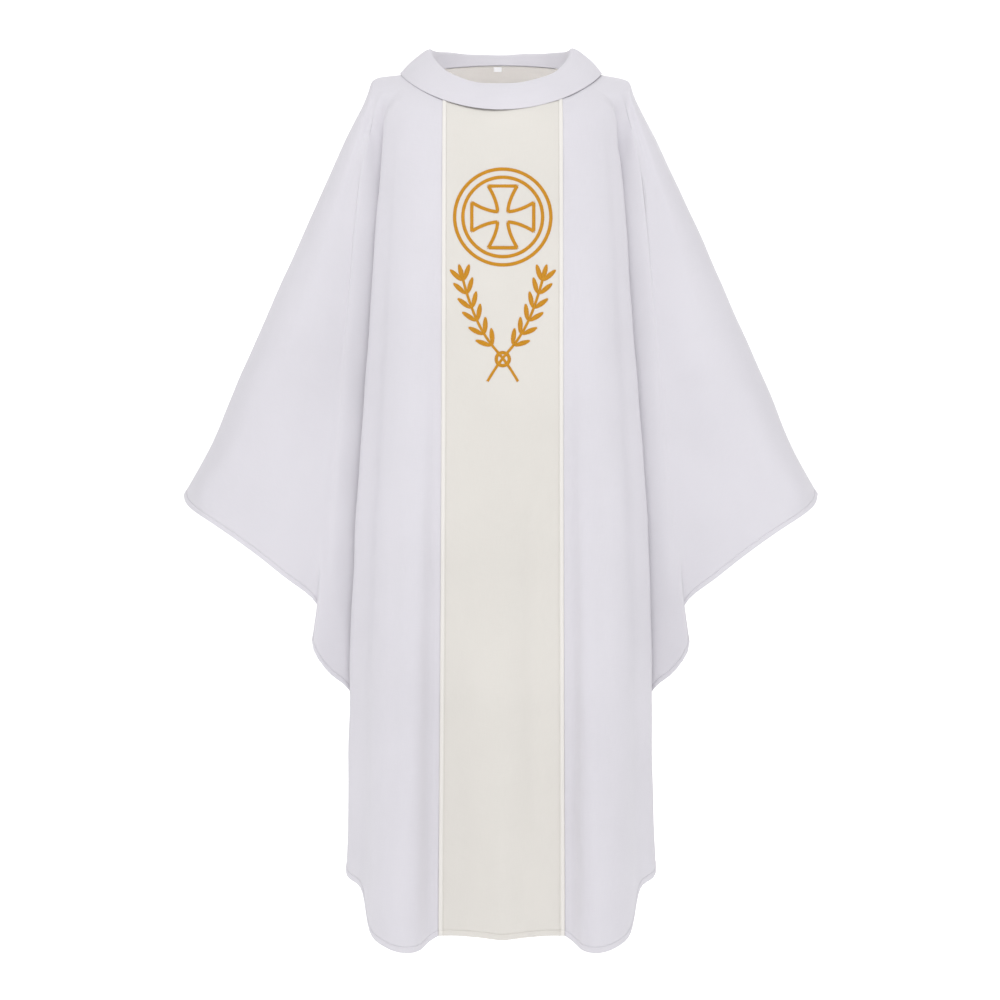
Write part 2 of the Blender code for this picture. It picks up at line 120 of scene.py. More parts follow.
# The stitches, of thread with four sides. A satin stitch is as long as its line is wide.
RUNNING_STITCH = {
    "Spacing": 0.0037,
    "Length": 0.0026,
    "Thickness": 0.00042,
    "Rise": 0.00042 * 1.6,
    "Lean": 0.0,
    "Unevenness": 0.06,
}
SATIN_STITCH = {
    "Spacing": 0.00056,
    "Length": 1.0,
    "Thickness": 0.00062,
    "Rise": 0.0016,
    "Lean": math.radians(12.0),
    "Unevenness": 0.05,
}
LEAN_WOBBLE = 0.07
STITCH_SIDES = 4
STITCH_RADIUS = 0.58
SEED = 7

# The embroidery on the front orphrey: its middle, then each motif round that middle.
EMBROIDERY_MIDDLE = (0.0025, -0.309)
LINE_WIDTH = 0.0051
RING_CENTRE = (0.0, 0.083)
RING_RADII = (0.070, 0.058)
RING_POINTS = 72
CROSS = {"reach": 0.045, "waist": 0.0075, "flare": 0.021}
CROSS_POINTS = 9
CROSS_HOLLOW = 1.7
STALK = [
    (-0.022, -0.156),
    (-0.004, -0.128),
    (0.020, -0.098),
    (0.040, -0.062),
    (0.054, -0.022),
    (0.059, -0.004),
]
STALK_WIDTH = 0.0040
STALK_POINTS = 80
EAR_STARTS = 0.36
EAR_ENDS = 0.97
GRAINS = 6
GRAIN_LENGTH = 0.0225
GRAIN_WIDTH = 0.0074
GRAIN_POINTS = 14
GRAIN_TIPS = 0.05
GRAIN_FULLNESS = 0.6
GRAIN_ANGLE = 32.0
GRAIN_FROM_STALK = 0.0042
TIE_CENTRE = (0.0, -0.124)
TIE_RADIUS = 0.0095
TIE_POINTS = 28

# The size tag's tape, folded at its lower end, and how many points each part of it has.
TAPE_THICKNESS = 0.00028
TAPE_BOW = 0.00025
TAPE_INSET = 0.0001
TAPE_FOLD_SHARE = 0.1
TAPE_POINTS = {"flat": 7, "fold": 9, "down": 40, "across": 13}

# Woven cloths: colour, roughness, the weave's fineness and how far it stands out.
Weave = namedtuple("Weave", "name colour roughness fineness relief")
WHITE_CREPE = Weave("white_crepe_cloth", (0.640, 0.624, 0.668), 0.82, 420.0, 0.28)
CREAM_CREPE = Weave("cream_crepe_cloth", (0.664, 0.640, 0.602), 0.76, 380.0, 0.24)
CREAM_EDGING = Weave("cream_edging_cloth", (0.745, 0.722, 0.690), 0.62, 520.0, 0.2)
WOVEN_TAPE = Weave("woven_tape", (0.86, 0.86, 0.87), 0.6, 700.0, 0.3)
# The weave's lines, its thicker threads both ways, and slow tones. A stop is a value and a share of colour.
WEAVE_LINES = {"Distortion": 0.6, "Detail": 1.0}
WEAVE_DEPTH = 0.0002
SLUB_STRETCHES = ((40.0, 900.0, 1.0), (900.0, 60.0, 1.0))
SLUB_NOISE = {"Scale": 1.0, "Detail": 2.0, "Roughness": 0.5}
SLUB_HEIGHT = 0.9
SLUB_TONE = 0.35
BROAD_NOISE = {"Scale": 5.0, "Detail": 3.0, "Roughness": 0.5}
CLOTH_STOPS = ((0.55, 0.965), (1.0, 1.02))
CLOTH_WORN = {"from": (0.6, 1.4), "by": (-0.05, 0.06)}
CLOTH_GLOSS = {"Sheen Weight": 0.18, "Sheen Roughness": 0.55, "Specular IOR Level": 0.3}

# Twisted threads: colour, roughness, how far the tone changes along them, and the streaks' fineness.
Thread = namedtuple("Thread", "name colour roughness tone fineness")
WHITE_THREAD = Thread("white_thread", WHITE_CREPE.colour, 0.6, 0.05, 1800.0)
CREAM_THREAD = Thread("cream_thread", CREAM_CREPE.colour, 0.6, 0.05, 1800.0)
GOLD_THREAD = Thread("gold_rayon_thread", (0.610, 0.290, 0.018), 0.38, 0.16, 2600.0)
STREAK_NOISE = {"Detail": 3.0, "Roughness": 0.6}
STREAK_STOPS = (0.3, 0.7)
STREAK_RELIEF = 0.3
STREAK_DEPTH = 0.0001
THREAD_WORN = {"from": (0.0, 1.0), "by": (-0.06, 0.08)}
THREAD_GLOSS = {"Specular IOR Level": 0.25}

# The pleat beside the middle column lies nearer the cloth's face than its node does. One value for each
# thread after the column's edge, and the heights from which and by which it is eased in full.
PLEAT_EASE = (0.005, 0.010, 0.014, 0.020, 0.019, 0.010, 0.002)
PLEAT_FROM = -0.05
PLEAT_FULL = -0.25
PLACING_HEIGHT = -0.62

# A crease runs along a path of (across, up) points, and fades over a share of its length at each end. Its
# depth is below 0 for a trough, above for a ridge.
Crease = namedtuple("Crease", "path width depth")
CREASE_FADE = 0.3
CREASE_END = 0.15
SHOULDER_CREASES = [
    Crease([(0.197, -0.030), (0.184, -0.075), (0.180, -0.140)], 0.009, -0.0030),
    Crease([(0.170, -0.045), (0.167, -0.115), (0.172, -0.190)], 0.012, -0.0016),
]
SLEEVE_CREASES = [
    Crease([(0.265, -0.440), (0.282, -0.600)], 0.034, -0.0045),
    Crease([(0.225, -0.200), (0.275, -0.380), (0.335, -0.560)], 0.030, 0.0020),
    Crease([(0.300, -0.330), (0.352, -0.500), (0.385, -0.640)], 0.020, -0.0018),
]
COLUMN_CREASES = [
    Crease([(0.148, -0.540), (0.150, -0.860), (0.156, -1.180)], 0.015, -0.0038),
    Crease([(0.108, -0.300), (0.112, -0.560)], 0.014, -0.0022),
]
ORPHREY_CREASES = [
    Crease([(0.046, -0.560), (0.044, -0.820), (0.052, -1.180)], 0.015, -0.0040),
    Crease([(-0.040, -0.640), (-0.034, -1.000), (-0.038, -1.260)], 0.022, 0.0026),
]
BACK_CREASES = [
    Crease([(0.120, -0.160), (0.116, -0.460), (0.128, -0.830)], 0.017, -0.0036),
    Crease([(0.155, -0.230), (0.163, -0.620), (0.170, -1.080)], 0.015, 0.0030),
    Crease([(0.225, -0.160), (0.262, -0.360), (0.292, -0.600)], 0.022, -0.0042),
    Crease([(0.262, -0.240), (0.322, -0.430), (0.366, -0.630)], 0.018, -0.0028),
    Crease([(0.205, -0.420), (0.232, -0.720)], 0.020, -0.0030),
]
BACK_ORPHREY_CREASES = [
    Crease([(0.030, -0.420), (0.036, -0.850), (0.030, -1.240)], 0.020, -0.0026),
    Crease([(-0.046, -0.560), (-0.040, -0.930), (-0.046, -1.240)], 0.018, -0.0022),
]
# On the left the same creases lie a little elsewhere.
LEFT_SHIFT = (0.006, -0.018)
LEFT_DEPTH = 0.85

# Long, slight waves in the cloth: wave length, direction in degrees, height. Each starts an angle later.
WAVES_IN_DEPTH = 0.35
WAVES_APART = 1.7
Wave = namedtuple("Wave", "length direction height")
WAVES = [
    Wave(0.230, 8, 0.0009),
    Wave(0.170, -14, 0.0007),
    Wave(0.110, 35, 0.0004),
    Wave(0.083, -52, 0.00028),
    Wave(0.061, 21, 0.0002),
]

# The floor and backdrop, one sheet with a sweep between them.
FLOOR_HEIGHT = -1.47
STAGE_HALF_WIDTH = 9.0
STAGE_FRONT = -9.0
STAGE_BACK = 7.5
STAGE_TOP = 6.0
SWEEP = 1.6
SWEEP_POINTS = 17
STAGE_COLOUR = (0.9, 0.9, 0.9, 1)
STAGE_ROUGHNESS = 0.9
STAGE_GLOW = 0.38

# Soft light from all round, and soft boxes: place, what they point at, size and power.
WORLD_STRENGTH = 0.70
SoftBox = namedtuple("SoftBox", "place aim size power")
SOFT_BOXES = [
    SoftBox((-3.4, -2.2, 0.9), (0.0, 0.0, -0.35), 2.2, 10),
    SoftBox((3.4, -2.2, 0.9), (0.0, 0.0, -0.35), 2.2, 8),
    SoftBox((0.0, -2.6, 2.6), (0.0, 0.0, 0.0), 2.0, 58),
    SoftBox((0.4, 3.0, 2.4), (0.0, 0.0, -0.30), 2.2, 16),
    SoftBox((0.0, -0.02, -0.45), (0.0, 0.06, 0.0), 0.16, 0.95),
]
CAMERA_PLACE = (-0.0015, -4.5, -0.6375)
CAMERA_LENS = 108
CAMERA_SENSOR = 36


def lengths_along(points):
    """The distance of each point from the first, along the straight pieces between them."""
    steps = np.linalg.norm(np.diff(points, axis=0), axis=-1)
    return np.concatenate([np.zeros((1, *steps.shape[1:])), np.cumsum(steps, axis=0)])


def unit(vectors):
    """The same directions, each 1 long."""
    return vectors / np.linalg.norm(vectors, axis=-1, keepdims=True)


def smooth_step(value):
    """0 below 0, 1 above 1, and a smooth rise between them."""
    value = np.clip(value, 0, 1)
    return value * value * (3 - 2 * value)


def curve_weights(knots, at):
    """The matrix that turns values at the knots into those of a natural cubic curve through them."""
    gaps = np.diff(knots)
    count = len(knots)
    values = np.eye(count)
    system = np.eye(count)
    right = np.zeros((count, count))
    for k in range(1, count - 1):
        system[k, k - 1 : k + 2] = gaps[k - 1], 2 * (gaps[k - 1] + gaps[k]), gaps[k]
        change = (values[k + 1] - values[k]) / gaps[k] - (values[k] - values[k - 1]) / gaps[k - 1]
        right[k] = 6 * change
    bends = np.linalg.solve(system, right)
    i = np.clip(np.searchsorted(knots, at) - 1, 0, count - 2)
    left = (at - knots[i])[:, None]
    rest = (knots[i + 1] - at)[:, None]
    gap = gaps[i][:, None]
    curved = (bends[i] * rest**3 + bends[i + 1] * left**3) / (6 * gap)
    first = (values[i] / gap - bends[i] * gap / 6) * rest
    last = (values[i + 1] / gap - bends[i + 1] * gap / 6) * left
    return curved + first + last


def welded(node):
    """A node's points, their normals and its triangles, with the points of neighbours joined."""
    wall = bmesh.new()
    wall.from_mesh(node.data)
    bmesh.ops.remove_doubles(wall, verts=wall.verts, dist=MERGE_DISTANCE)
    wall.normal_update()
    wall.verts.index_update()
    points = np.array([vert.co for vert in wall.verts])
    normals = np.array([vert.normal for vert in wall.verts])
    triangles = np.array([[vert.index for vert in face.verts] for face in wall.faces])
    wall.free()
    return points, normals, triangles


def across_the_wall(points, normals, wall):
    """For each point, the one straight across the wall from it."""
    tree = KDTree(len(points))
    for index, point in enumerate(points):
        tree.insert(point, index)
    tree.balance()
    partner = np.full(len(points), -1)
    for index, point in enumerate(points):
        best = 0.0
        for place, other, distance in tree.find_range(Vector(point), wall * (1 + WALL_TOLERANCE)):
            if distance < wall * (1 - WALL_TOLERANCE):
                continue
            straight = abs(np.dot(normals[index], np.array(place) - point)) / distance
            if straight > best:
                best = straight
                partner[index] = other
    return partner


def outer_side(node):
    """The points and triangles of the side of a node's wall that faces away from the wearer."""
    points, normals, triangles = welded(node)
    partner = across_the_wall(points, normals, WALL)
    following = np.roll(triangles, -1, axis=1)
    rim = (partner[triangles] == following) | (partner[following] == triangles)
    faces = triangles[~rim.any(axis=1)]
    labels = np.arange(len(points))
    while True:
        lowest = labels[faces].min(axis=1)
        joined = labels.copy()
        for corner in range(3):
            np.minimum.at(joined, faces[:, corner], lowest)
        if (joined == labels).all():
            break
        labels = joined
    away = np.sign(points[:, 1].mean())
    a, b, c = (points[faces[:, corner]] for corner in range(3))
    facing = away * np.cross(b - a, c - a)[:, 1]
    sides = np.unique(labels[faces[:, 0]])
    outer = max(sides, key=lambda side: facing[labels[faces[:, 0]] == side].sum())
    return points, faces[labels[faces[:, 0]] == outer]


def rim_loop(triangles):
    """The sheet's edge as a closed loop of points, in the order in which its triangles turn."""
    sides = np.stack([triangles.ravel(), np.roll(triangles, -1, axis=1).ravel()], axis=1)
    known = {tuple(side) for side in sides}
    following = {a: b for a, b in known if (b, a) not in known}
    loop = [min(following)]
    while following[loop[-1]] != loop[0]:
        loop.append(following[loop[-1]])
    return loop


def corner_angles(points, triangles, loop):
    """The angle of cloth at each point of the loop."""
    total = dict.fromkeys(loop, 0.0)
    for triangle in triangles:
        for corner in range(3):
            here = triangle[corner]
            if here in total:
                a = points[triangle[corner - 1]] - points[here]
                b = points[triangle[corner - 2]] - points[here]
                cosine = a @ b / (np.linalg.norm(a) * np.linalg.norm(b))
                total[here] += math.acos(max(-1.0, min(1.0, cosine)))
    return [total[here] for here in loop]


def threads_and_rows(points, triangles):
    """Orders a sheet, whose squares were each split in two triangles, as a grid of points."""
    loop = rim_loop(triangles)
    count = len(np.unique(triangles))
    total = len(loop) // 2 + 2
    spread = math.isqrt(total * total - 4 * count)
    sizes = ((total + spread) // 2, (total - spread) // 2)
    angles = corner_angles(points, triangles, loop)

    def bent(choice):
        start, (long, short) = choice
        turns = (0, long - 1, long + short - 2, 2 * long + short - 3)
        return sum(angles[(start + turn) % len(loop)] for turn in turns)

    choices = [(start, size) for start in range(len(loop)) for size in (sizes, sizes[::-1])]
    start, (down, across) = min(choices, key=bent)
    grid = np.full((across, down), -1)
    grid[0] = [loop[(start + j) % len(loop)] for j in range(down)]
    grid[:, 0] = [loop[(start - i) % len(loop)] for i in range(across)]
    beside = {}
    for number, (a, b, c) in enumerate(triangles):
        for side, third in (((a, b), c), ((b, c), a), ((c, a), b)):
            beside.setdefault(frozenset(side), []).append((number, third))
    used = set()

    def third_point(side):
        number, third = next(found for found in beside[frozenset(side)] if found[0] not in used)
        used.add(number)
        return third

    for i in range(across - 1):
        for j in range(down - 1):
            here, below, beyond = grid[i, j], grid[i, j + 1], grid[i + 1, j]
            found = third_point((here, below))
            if found == beyond:
                found = third_point((below, beyond))
            else:
                third_point((here, found))
            grid[i + 1, j + 1] = found
    return points[grid]


def cloth_grid(node):
    """A node's outer side as threads by rows by xyz: rows go down, threads go away from the middle."""
    grid = threads_and_rows(*outer_side(node))
    falls = [abs(np.diff(grid[..., 2], axis=axis).sum()) / grid.shape[1 - axis] for axis in (0, 1)]
    if falls[0] > falls[1]:
        grid = grid.swapaxes(0, 1)
    if grid[:, 0, 2].mean() < grid[:, -1, 2].mean():
        grid = grid[:, ::-1]
    sideways = grid[-1, :, 0].mean() - grid[0, :, 0].mean()
    panel = abs(grid[..., 0].mean()) > abs(grid[..., 0]).max() * PANEL_OFF_MIDDLE
    if panel and sideways * grid[..., 0].mean() < 0 or not panel and sideways < 0:
        grid = grid[::-1]
    return grid


def eased_pleat(grid):
    """Brings the bottom of a panel's pleat nearer to the cloth's face."""
    grid = grid.copy()
    side, away = np.sign(grid[..., 0].mean()), np.sign(grid[..., 1].mean())
    row = np.abs(grid[..., 2].mean(axis=0) - PLACING_HEIGHT).argmin()
    edge = int(np.argmax(np.diff(side * grid[:, row, 0]) < 0))
    for thread, ease in enumerate(PLEAT_EASE, start=edge + 1):
        share = smooth_step((PLEAT_FROM - grid[thread, :, 2]) / (PLEAT_FROM - PLEAT_FULL))
        grid[thread, :, 1] += away * ease * share
    return grid


def closed_seams(grid):
    """Moves the side edges out by half the gap, so that neighbouring pieces meet."""
    grid = grid.copy()
    for edge, inner in ((0, 1), (-1, -2)):
        grid[edge] += unit(grid[edge] - grid[inner]) * SEAM_GAP / 2
    return grid


def fine_threads(grid):
    """More threads, and rows at even distances along each, close together near the hem."""
    across = lengths_along(grid).mean(axis=1)
    down = lengths_along(grid.swapaxes(0, 1)).mean(axis=1)
    near_seam = np.array(NEAR_SEAM)
    threads = max(FEWEST_THREADS, round(across[-1] / GRAIN))
    middle = np.linspace(AFTER_SEAM, across[-1] - AFTER_SEAM, threads)
    places = np.concatenate([near_seam, middle, across[-1] - near_seam[::-1]])
    dense = np.einsum("ai,ijx->ajx", curve_weights(across, places), grid)
    even_rows = np.linspace(0, down[-1], DENSE_ROWS)
    dense = np.einsum("bj,ajx->abx", curve_weights(down, even_rows), dense)
    longest = lengths_along(dense.swapaxes(0, 1))[-1].max()
    rows = round(longest / GRAIN)
    hem_rows = np.array(HEM_ROWS)
    fine = []
    for thread in dense:
        length = lengths_along(thread)
        above_hem = np.linspace(0, length[-1] - hem_rows[0], rows)[:-1]
        at = np.concatenate([above_hem, length[-1] - hem_rows])
        fine.append(np.stack([np.interp(at, length, thread[:, k]) for k in range(3)], axis=1))
    return np.array(fine)


def outward_normals(grid, away):
    """Unit normals of a grid of points, on the side of it that the away vector points to."""
    normals = unit(np.cross(np.gradient(grid, axis=1), np.gradient(grid, axis=0)))
    return normals if (normals @ np.array(away)).sum() > 0 else -normals


def crease_height(grid, crease, side):
    """How far one crease moves each point, on the side of the cloth where x has this sign."""
    path = np.array(crease.path)
    depth = crease.depth
    if side < 0:
        path = (path + np.array(LEFT_SHIFT)) * np.array([-1.0, 1.0])
        depth *= LEFT_DEPTH
    place = grid[..., [0, 2]]
    total = lengths_along(path)[-1]
    nearest = np.full(place.shape[:2], np.inf)
    along = np.zeros(place.shape[:2])
    walked = 0.0
    for start, end in zip(path, path[1:]):
        run = end - start
        length = np.linalg.norm(run)
        share = np.clip((place - start) @ run / length**2, 0, 1)
        distance = np.linalg.norm(place - (start + share[..., None] * run), axis=2)
        closer = distance < nearest
        nearest = np.where(closer, distance, nearest)
        along = np.where(closer, (walked + share * length) / total, along)
        walked += length
    ends = smooth_step(along / CREASE_FADE + CREASE_END)
    ends *= smooth_step((1 - along) / CREASE_FADE + CREASE_END)
    return depth * ends * np.exp(-((nearest / crease.width) ** 2))


def slight_waves(grid):
    """How far the long waves move each point."""
    height = np.zeros(grid.shape[:2])
    for number, wave in enumerate(WAVES):
        turn = math.radians(wave.direction)
        run = grid[..., 0] * math.cos(turn) + grid[..., 2] * math.sin(turn)
        run += WAVES_IN_DEPTH * grid[..., 1]
        height += wave.height * np.sin(2 * math.pi * run / wave.length + WAVES_APART * number)
    return height


def in_scene(name, data):
    """A new object with this data, in the scene."""
    piece = bpy.data.objects.new(name, data)
    bpy.context.scene.collection.objects.link(piece)
    return piece


def mesh_piece(name, points, faces, uvs, material):
    """A smooth mesh object. uvs holds one pair for each point."""
    mesh = bpy.data.meshes.new(name)
    mesh.from_pydata(points, [], faces)
    mesh.materials.append(material)
    mesh.shade_smooth()
    corners = np.zeros(len(mesh.loops), np.int32)
    mesh.loops.foreach_get("vertex_index", corners)
    layer = mesh.uv_layers.new(name="weave")
    layer.data.foreach_set("uv", np.asarray(uvs, np.float32)[corners].ravel())
    mesh.update()
    return in_scene(name, mesh)


def wall_faces(across, down, closed):
    """The squares of a wall whose outer grid comes first and whose inner grid comes second."""
    outer = np.arange(across * down).reshape(across, down)
    if closed:
        outer = np.vstack([outer, outer[:1]])
    inner = outer + across * down
    faces = [outer[:-1, :-1], outer[:-1, 1:], outer[1:, 1:], outer[1:, :-1]]
    faces = np.stack([side.ravel() for side in faces], axis=1)
    back = [inner[:-1, :-1], inner[1:, :-1], inner[1:, 1:], inner[:-1, 1:]]
    back = np.stack([side.ravel() for side in back], axis=1)
    rims = [(outer[:, -1], inner[:, -1]), (outer[::-1, 0], inner[::-1, 0])]
    if not closed:
        rims += [(outer[0], inner[0]), (outer[-1, ::-1], inner[-1, ::-1])]
    strips = [np.stack([a[:-1], b[:-1], b[1:], a[1:]], axis=1) for a, b in rims]
    return np.concatenate([faces, back, *strips])


def wall_piece(name, outside, inside, material, closed=False):
    """A closed wall between an outer and an inner grid, with its weave laid out by true lengths."""
    across, down = outside.shape[:2]
    points = np.concatenate([outside.reshape(-1, 3), inside.reshape(-1, 3)])
    faces = wall_faces(across, down, closed)
    a, b, c = (points[faces[:, corner]] for corner in range(3))
    through = (outside - inside).reshape(-1, 3)
    outer = faces[: (across - (0 if closed else 1)) * (down - 1)]
    turned = (np.cross(b - a, c - a)[: len(outer)] * through[outer[:, 0]]).sum()
    if turned < 0:
        faces = faces[:, ::-1]
    u = lengths_along(outside)
    v = lengths_along(outside.swapaxes(0, 1)).T
    uvs = np.tile(np.stack([u, v], axis=2).reshape(-1, 2), (2, 1))
    return mesh_piece(name, points, faces.tolist(), uvs, material)


Sheet = namedtuple("Sheet", "grid normals from_hem")


def cloth_sheet(name, creases, panel):
    """The finished outer side of a cloth, with its creases and hem. A panel has its pleat and seams too."""
    grid = closed_seams(cloth_grid(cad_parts[name]))
    if panel:
        grid = eased_pleat(grid)
    grid = fine_threads(grid)
    away = (0.0, np.sign(grid[..., 1].mean()), 0.0)
    normals = outward_normals(grid, away)
    side = np.sign(grid[..., 0].mean()) if panel else 1
    height = slight_waves(grid)
    for crease in creases:
        height += crease_height(grid, crease, side)
    from_neck = lengths_along(grid.swapaxes(0, 1)).T
    from_hem = lengths_along(grid.swapaxes(0, 1)[::-1])[::-1].T
    from_side = np.minimum(lengths_along(grid), lengths_along(grid[::-1])[::-1])
    height *= smooth_step(from_side / FADE_AT_SIDE) * smooth_step(from_neck / FADE_AT_NECK)
    height += HEM_RISE * smooth_step((HEM - from_hem) / HEM_STEP + HEM_STEP_STARTS)
    height -= HEM_GROOVE * np.exp(-(((from_hem - HEM) / HEM_GROOVE_WIDTH) ** 2))
    height -= EDGE_ROUND / 2 * (1 - smooth_step(from_hem / EDGE_ROUND))
    if panel:
        height -= SEAM_DIP * np.exp(-((from_side / SEAM_DIP_WIDTH) ** 2))
    return Sheet(grid + normals * height[..., None], normals, from_hem)


def add_cloth(name, creases, material, panel=True):
    """A sheet of cloth in place of its node."""
    sheet = cloth_sheet(name, creases, panel)
    thickness = CLOTH + HEM_RISE * HEM_THICKER * smooth_step((HEM - sheet.from_hem) / HEM_STEP)
    thickness -= EDGE_ROUND * EDGE_THINNER * (1 - smooth_step(sheet.from_hem / EDGE_ROUND))
    inside = sheet.grid - sheet.normals * np.maximum(thickness, THINNEST)[..., None]
    piece = wall_piece(name + "_cloth", sheet.grid, inside, material)
    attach(piece, "root")
    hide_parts(name)
    return piece, sheet


def declare(grid):
    """Works out the greatest length of the cloth along its threads; the result is not kept or used."""
    length = lengths_along(grid.swapaxes(0, 1))[-1].max()


def path_mesh(name, paths):
    """Open or closed lines of points, each with its outward direction and its width."""
    points = np.concatenate([path["points"] for path in paths])
    outwards = np.concatenate([path["outward"] for path in paths])
    widths = np.concatenate([path["width"] for path in paths])
    edges = []
    first = 0
    for path in paths:
        count = len(path["points"])
        edges += [(first + k, first + k + 1) for k in range(count - 1)]
        if path["closed"]:
            edges.append((first + count - 1, first))
        first += count
    mesh = bpy.data.meshes.new(name)
    mesh.from_pydata(points, edges, [])
    outward = mesh.attributes.new("outward", "FLOAT_VECTOR", "POINT")
    outward.data.foreach_set("vector", outwards.ravel())
    width = mesh.attributes.new("width", "FLOAT", "POINT")
    width.data.foreach_set("value", widths.ravel())
    return in_scene(name, mesh)


def add_node(tree, kind, values=(), **settings):
    """A node with its settings, and its inputs set or linked by name or number."""
    node = tree.nodes.new(kind)
    for name, value in settings.items():
        setattr(node, name, value)
    for name, value in dict(values).items():
        if isinstance(value, bpy.types.NodeSocket):
            tree.links.new(value, node.inputs[name])
        else:
            node.inputs[name].default_value = value
    return node


def reckon(tree, operation, *values):
    """The result of one operation on numbers or sockets."""
    return add_node(tree, "ShaderNodeMath", enumerate(values), operation=operation).outputs[0]


def vector_of(tree, **parts):
    """A vector from its X, Y and Z, each 0 if it isn't given."""
    return add_node(tree, "ShaderNodeCombineXYZ", parts).outputs[0]


def line_value(tree, name, kind):
    """A named value of the line that the stitches lie on."""
    read = add_node(tree, "GeometryNodeInputNamedAttribute", {"Name": name}, data_type=kind)
    return read.outputs["Attribute"]


def random_value(tree, seed, reach):
    """A random number for each stitch, between -reach and reach."""
    limits = {"Seed": seed, 2: -reach, 3: reach}
    return add_node(tree, "FunctionNodeRandomValue", limits, data_type="FLOAT").outputs[1]


def one_stitch(tree, given):
    """A thread that arches from end to end along Y."""
    half = reckon(tree, "MULTIPLY", given["Length"], 0.5)
    back = reckon(tree, "MULTIPLY", given["Length"], -0.5)
    start, end, top = vector_of(tree, Y=back), vector_of(tree, Y=half), vector_of(tree, Z=given["Rise"])
    ends = {"Resolution": 4, "Start": start, "Middle": top, "End": end}
    arch = add_node(tree, "GeometryNodeCurveQuadraticBezier", ends)
    radius = reckon(tree, "MULTIPLY", given["Thickness"], STITCH_RADIUS)
    round_thread = {"Resolution": STITCH_SIDES, "Radius": radius}
    section = add_node(tree, "GeometryNodeCurvePrimitiveCircle", round_thread)
    swept = {"Curve": arch.outputs[0], "Profile Curve": section.outputs[0], "Fill Caps": True}
    return add_node(tree, "GeometryNodeCurveToMesh", swept).outputs["Mesh"]


def stitch_tree(name, across_path):
    """Lays a rounded stitch at even distances along every line: across it for satin, or else along it."""
    tree = bpy.data.node_groups.new(name, "GeometryNodeTree")
    kinds = {"Lines": "Geometry", **dict.fromkeys(RUNNING_STITCH, "Float")}
    kinds.update(Seed="Int", Thread="Material")
    for label, kind in kinds.items():
        tree.interface.new_socket(label, in_out="INPUT", socket_type="NodeSocket" + kind)
    tree.interface.new_socket("Stitches", in_out="OUTPUT", socket_type="NodeSocketGeometry")
    given = tree.nodes.new("NodeGroupInput").outputs
    lines = add_node(tree, "GeometryNodeMeshToCurve", {"Mesh": given["Lines"]})
    spaced = {"Curve": lines.outputs["Curve"], "Length": given["Spacing"]}
    evenly = add_node(tree, "GeometryNodeResampleCurve", spaced, mode="LENGTH")
    outward = line_value(tree, "outward", "FLOAT_VECTOR")
    width = line_value(tree, "width", "FLOAT")
    tangent = tree.nodes.new("GeometryNodeInputTangent").outputs["Tangent"]
    frame_turn = add_node(
        tree,
        "FunctionNodeAxesToRotation",
        {"Primary Axis": outward, "Secondary Axis": tangent},
        primary_axis="Z",
        secondary_axis="X" if across_path else "Y",
    )
    lean = reckon(tree, "ADD", given["Lean"], random_value(tree, given["Seed"], LEAN_WOBBLE))
    leaning = add_node(tree, "FunctionNodeEulerToRotation", {"Euler": vector_of(tree, Z=lean)})
    both_turns = {"Rotation": frame_turn.outputs[0], "Rotate By": leaning.outputs[0]}
    turned = add_node(tree, "FunctionNodeRotateRotation", both_turns, rotation_space="LOCAL")
    uneven = random_value(tree, given["Seed"], 1.0)
    share = reckon(tree, "MULTIPLY_ADD", uneven, given["Unevenness"], 1.0)
    reach = reckon(tree, "MULTIPLY", width, share)
    laid = add_node(
        tree,
        "GeometryNodeInstanceOnPoints",
        {
            "Points": evenly.outputs["Curve"],
            "Instance": one_stitch(tree, given),
            "Rotation": turned.outputs[0],
            "Scale": vector_of(tree, X=1.0, Y=reach, Z=share),
        },
    )
    real = add_node(tree, "GeometryNodeRealizeInstances", {0: laid.outputs["Instances"]})
    smooth = add_node(tree, "GeometryNodeSetShadeSmooth", {0: real.outputs[0]})
    dyed = {0: smooth.outputs[0], "Material": given["Thread"]}
    coloured = add_node(tree, "GeometryNodeSetMaterial", dyed)
    out = tree.nodes.new("NodeGroupOutput")
    tree.links.new(coloured.outputs[0], out.inputs["Stitches"])
    return tree


def sewn(name, paths, tree, material, slot, **sizes):
    """Runs a stitch tree over the paths and keeps the result as a plain mesh."""
    source = path_mesh(name + "_line", paths)
    modifier = source.modifiers.new("stitches", "NODES")
    modifier.node_group = tree
    items = tree.interface.items_tree
    sockets = {item.name: item.identifier for item in items if item.in_out == "INPUT"}
    for label, value in {"Seed": SEED, "Thread": material, **sizes}.items():
        modifier[sockets[label]] = value
    graph = bpy.context.evaluated_depsgraph_get()
    mesh = bpy.data.meshes.new_from_object(source.evaluated_get(graph))
    mesh.name = name
    bpy.data.objects.remove(source)
    piece = in_scene(name, mesh)
    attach(piece, "root")
    return piece


def running_line(points, outward):
    """A path for running stitches, all of one width."""
    return {"points": points, "outward": outward, "width": np.ones(len(points)), "closed": False}


def hem_line(sheet):
    """The stitching line of the hem, as a path."""
    row = -len(HEM_ROWS) + HEM_ROWS.index(HEM)
    outward = sheet.normals[:, row]
    return running_line(sheet.grid[:, row] + outward * HEM_STITCH_LIFT, outward)


def at_distance(sheet, edge, distance):
    """Points and normals at a distance from one side edge of a sheet, along every row."""
    grid = sheet.grid if edge == 0 else sheet.grid[::-1]
    normals = sheet.normals if edge == 0 else sheet.normals[::-1]
    from_edge = lengths_along(grid)

    def there(values):
        found = [
            [np.interp(distance, from_edge[:, row], values[:, row, k]) for k in range(3)]
            for row in range(grid.shape[1])
        ]
        return np.array(found)

    return there(grid), unit(there(normals))


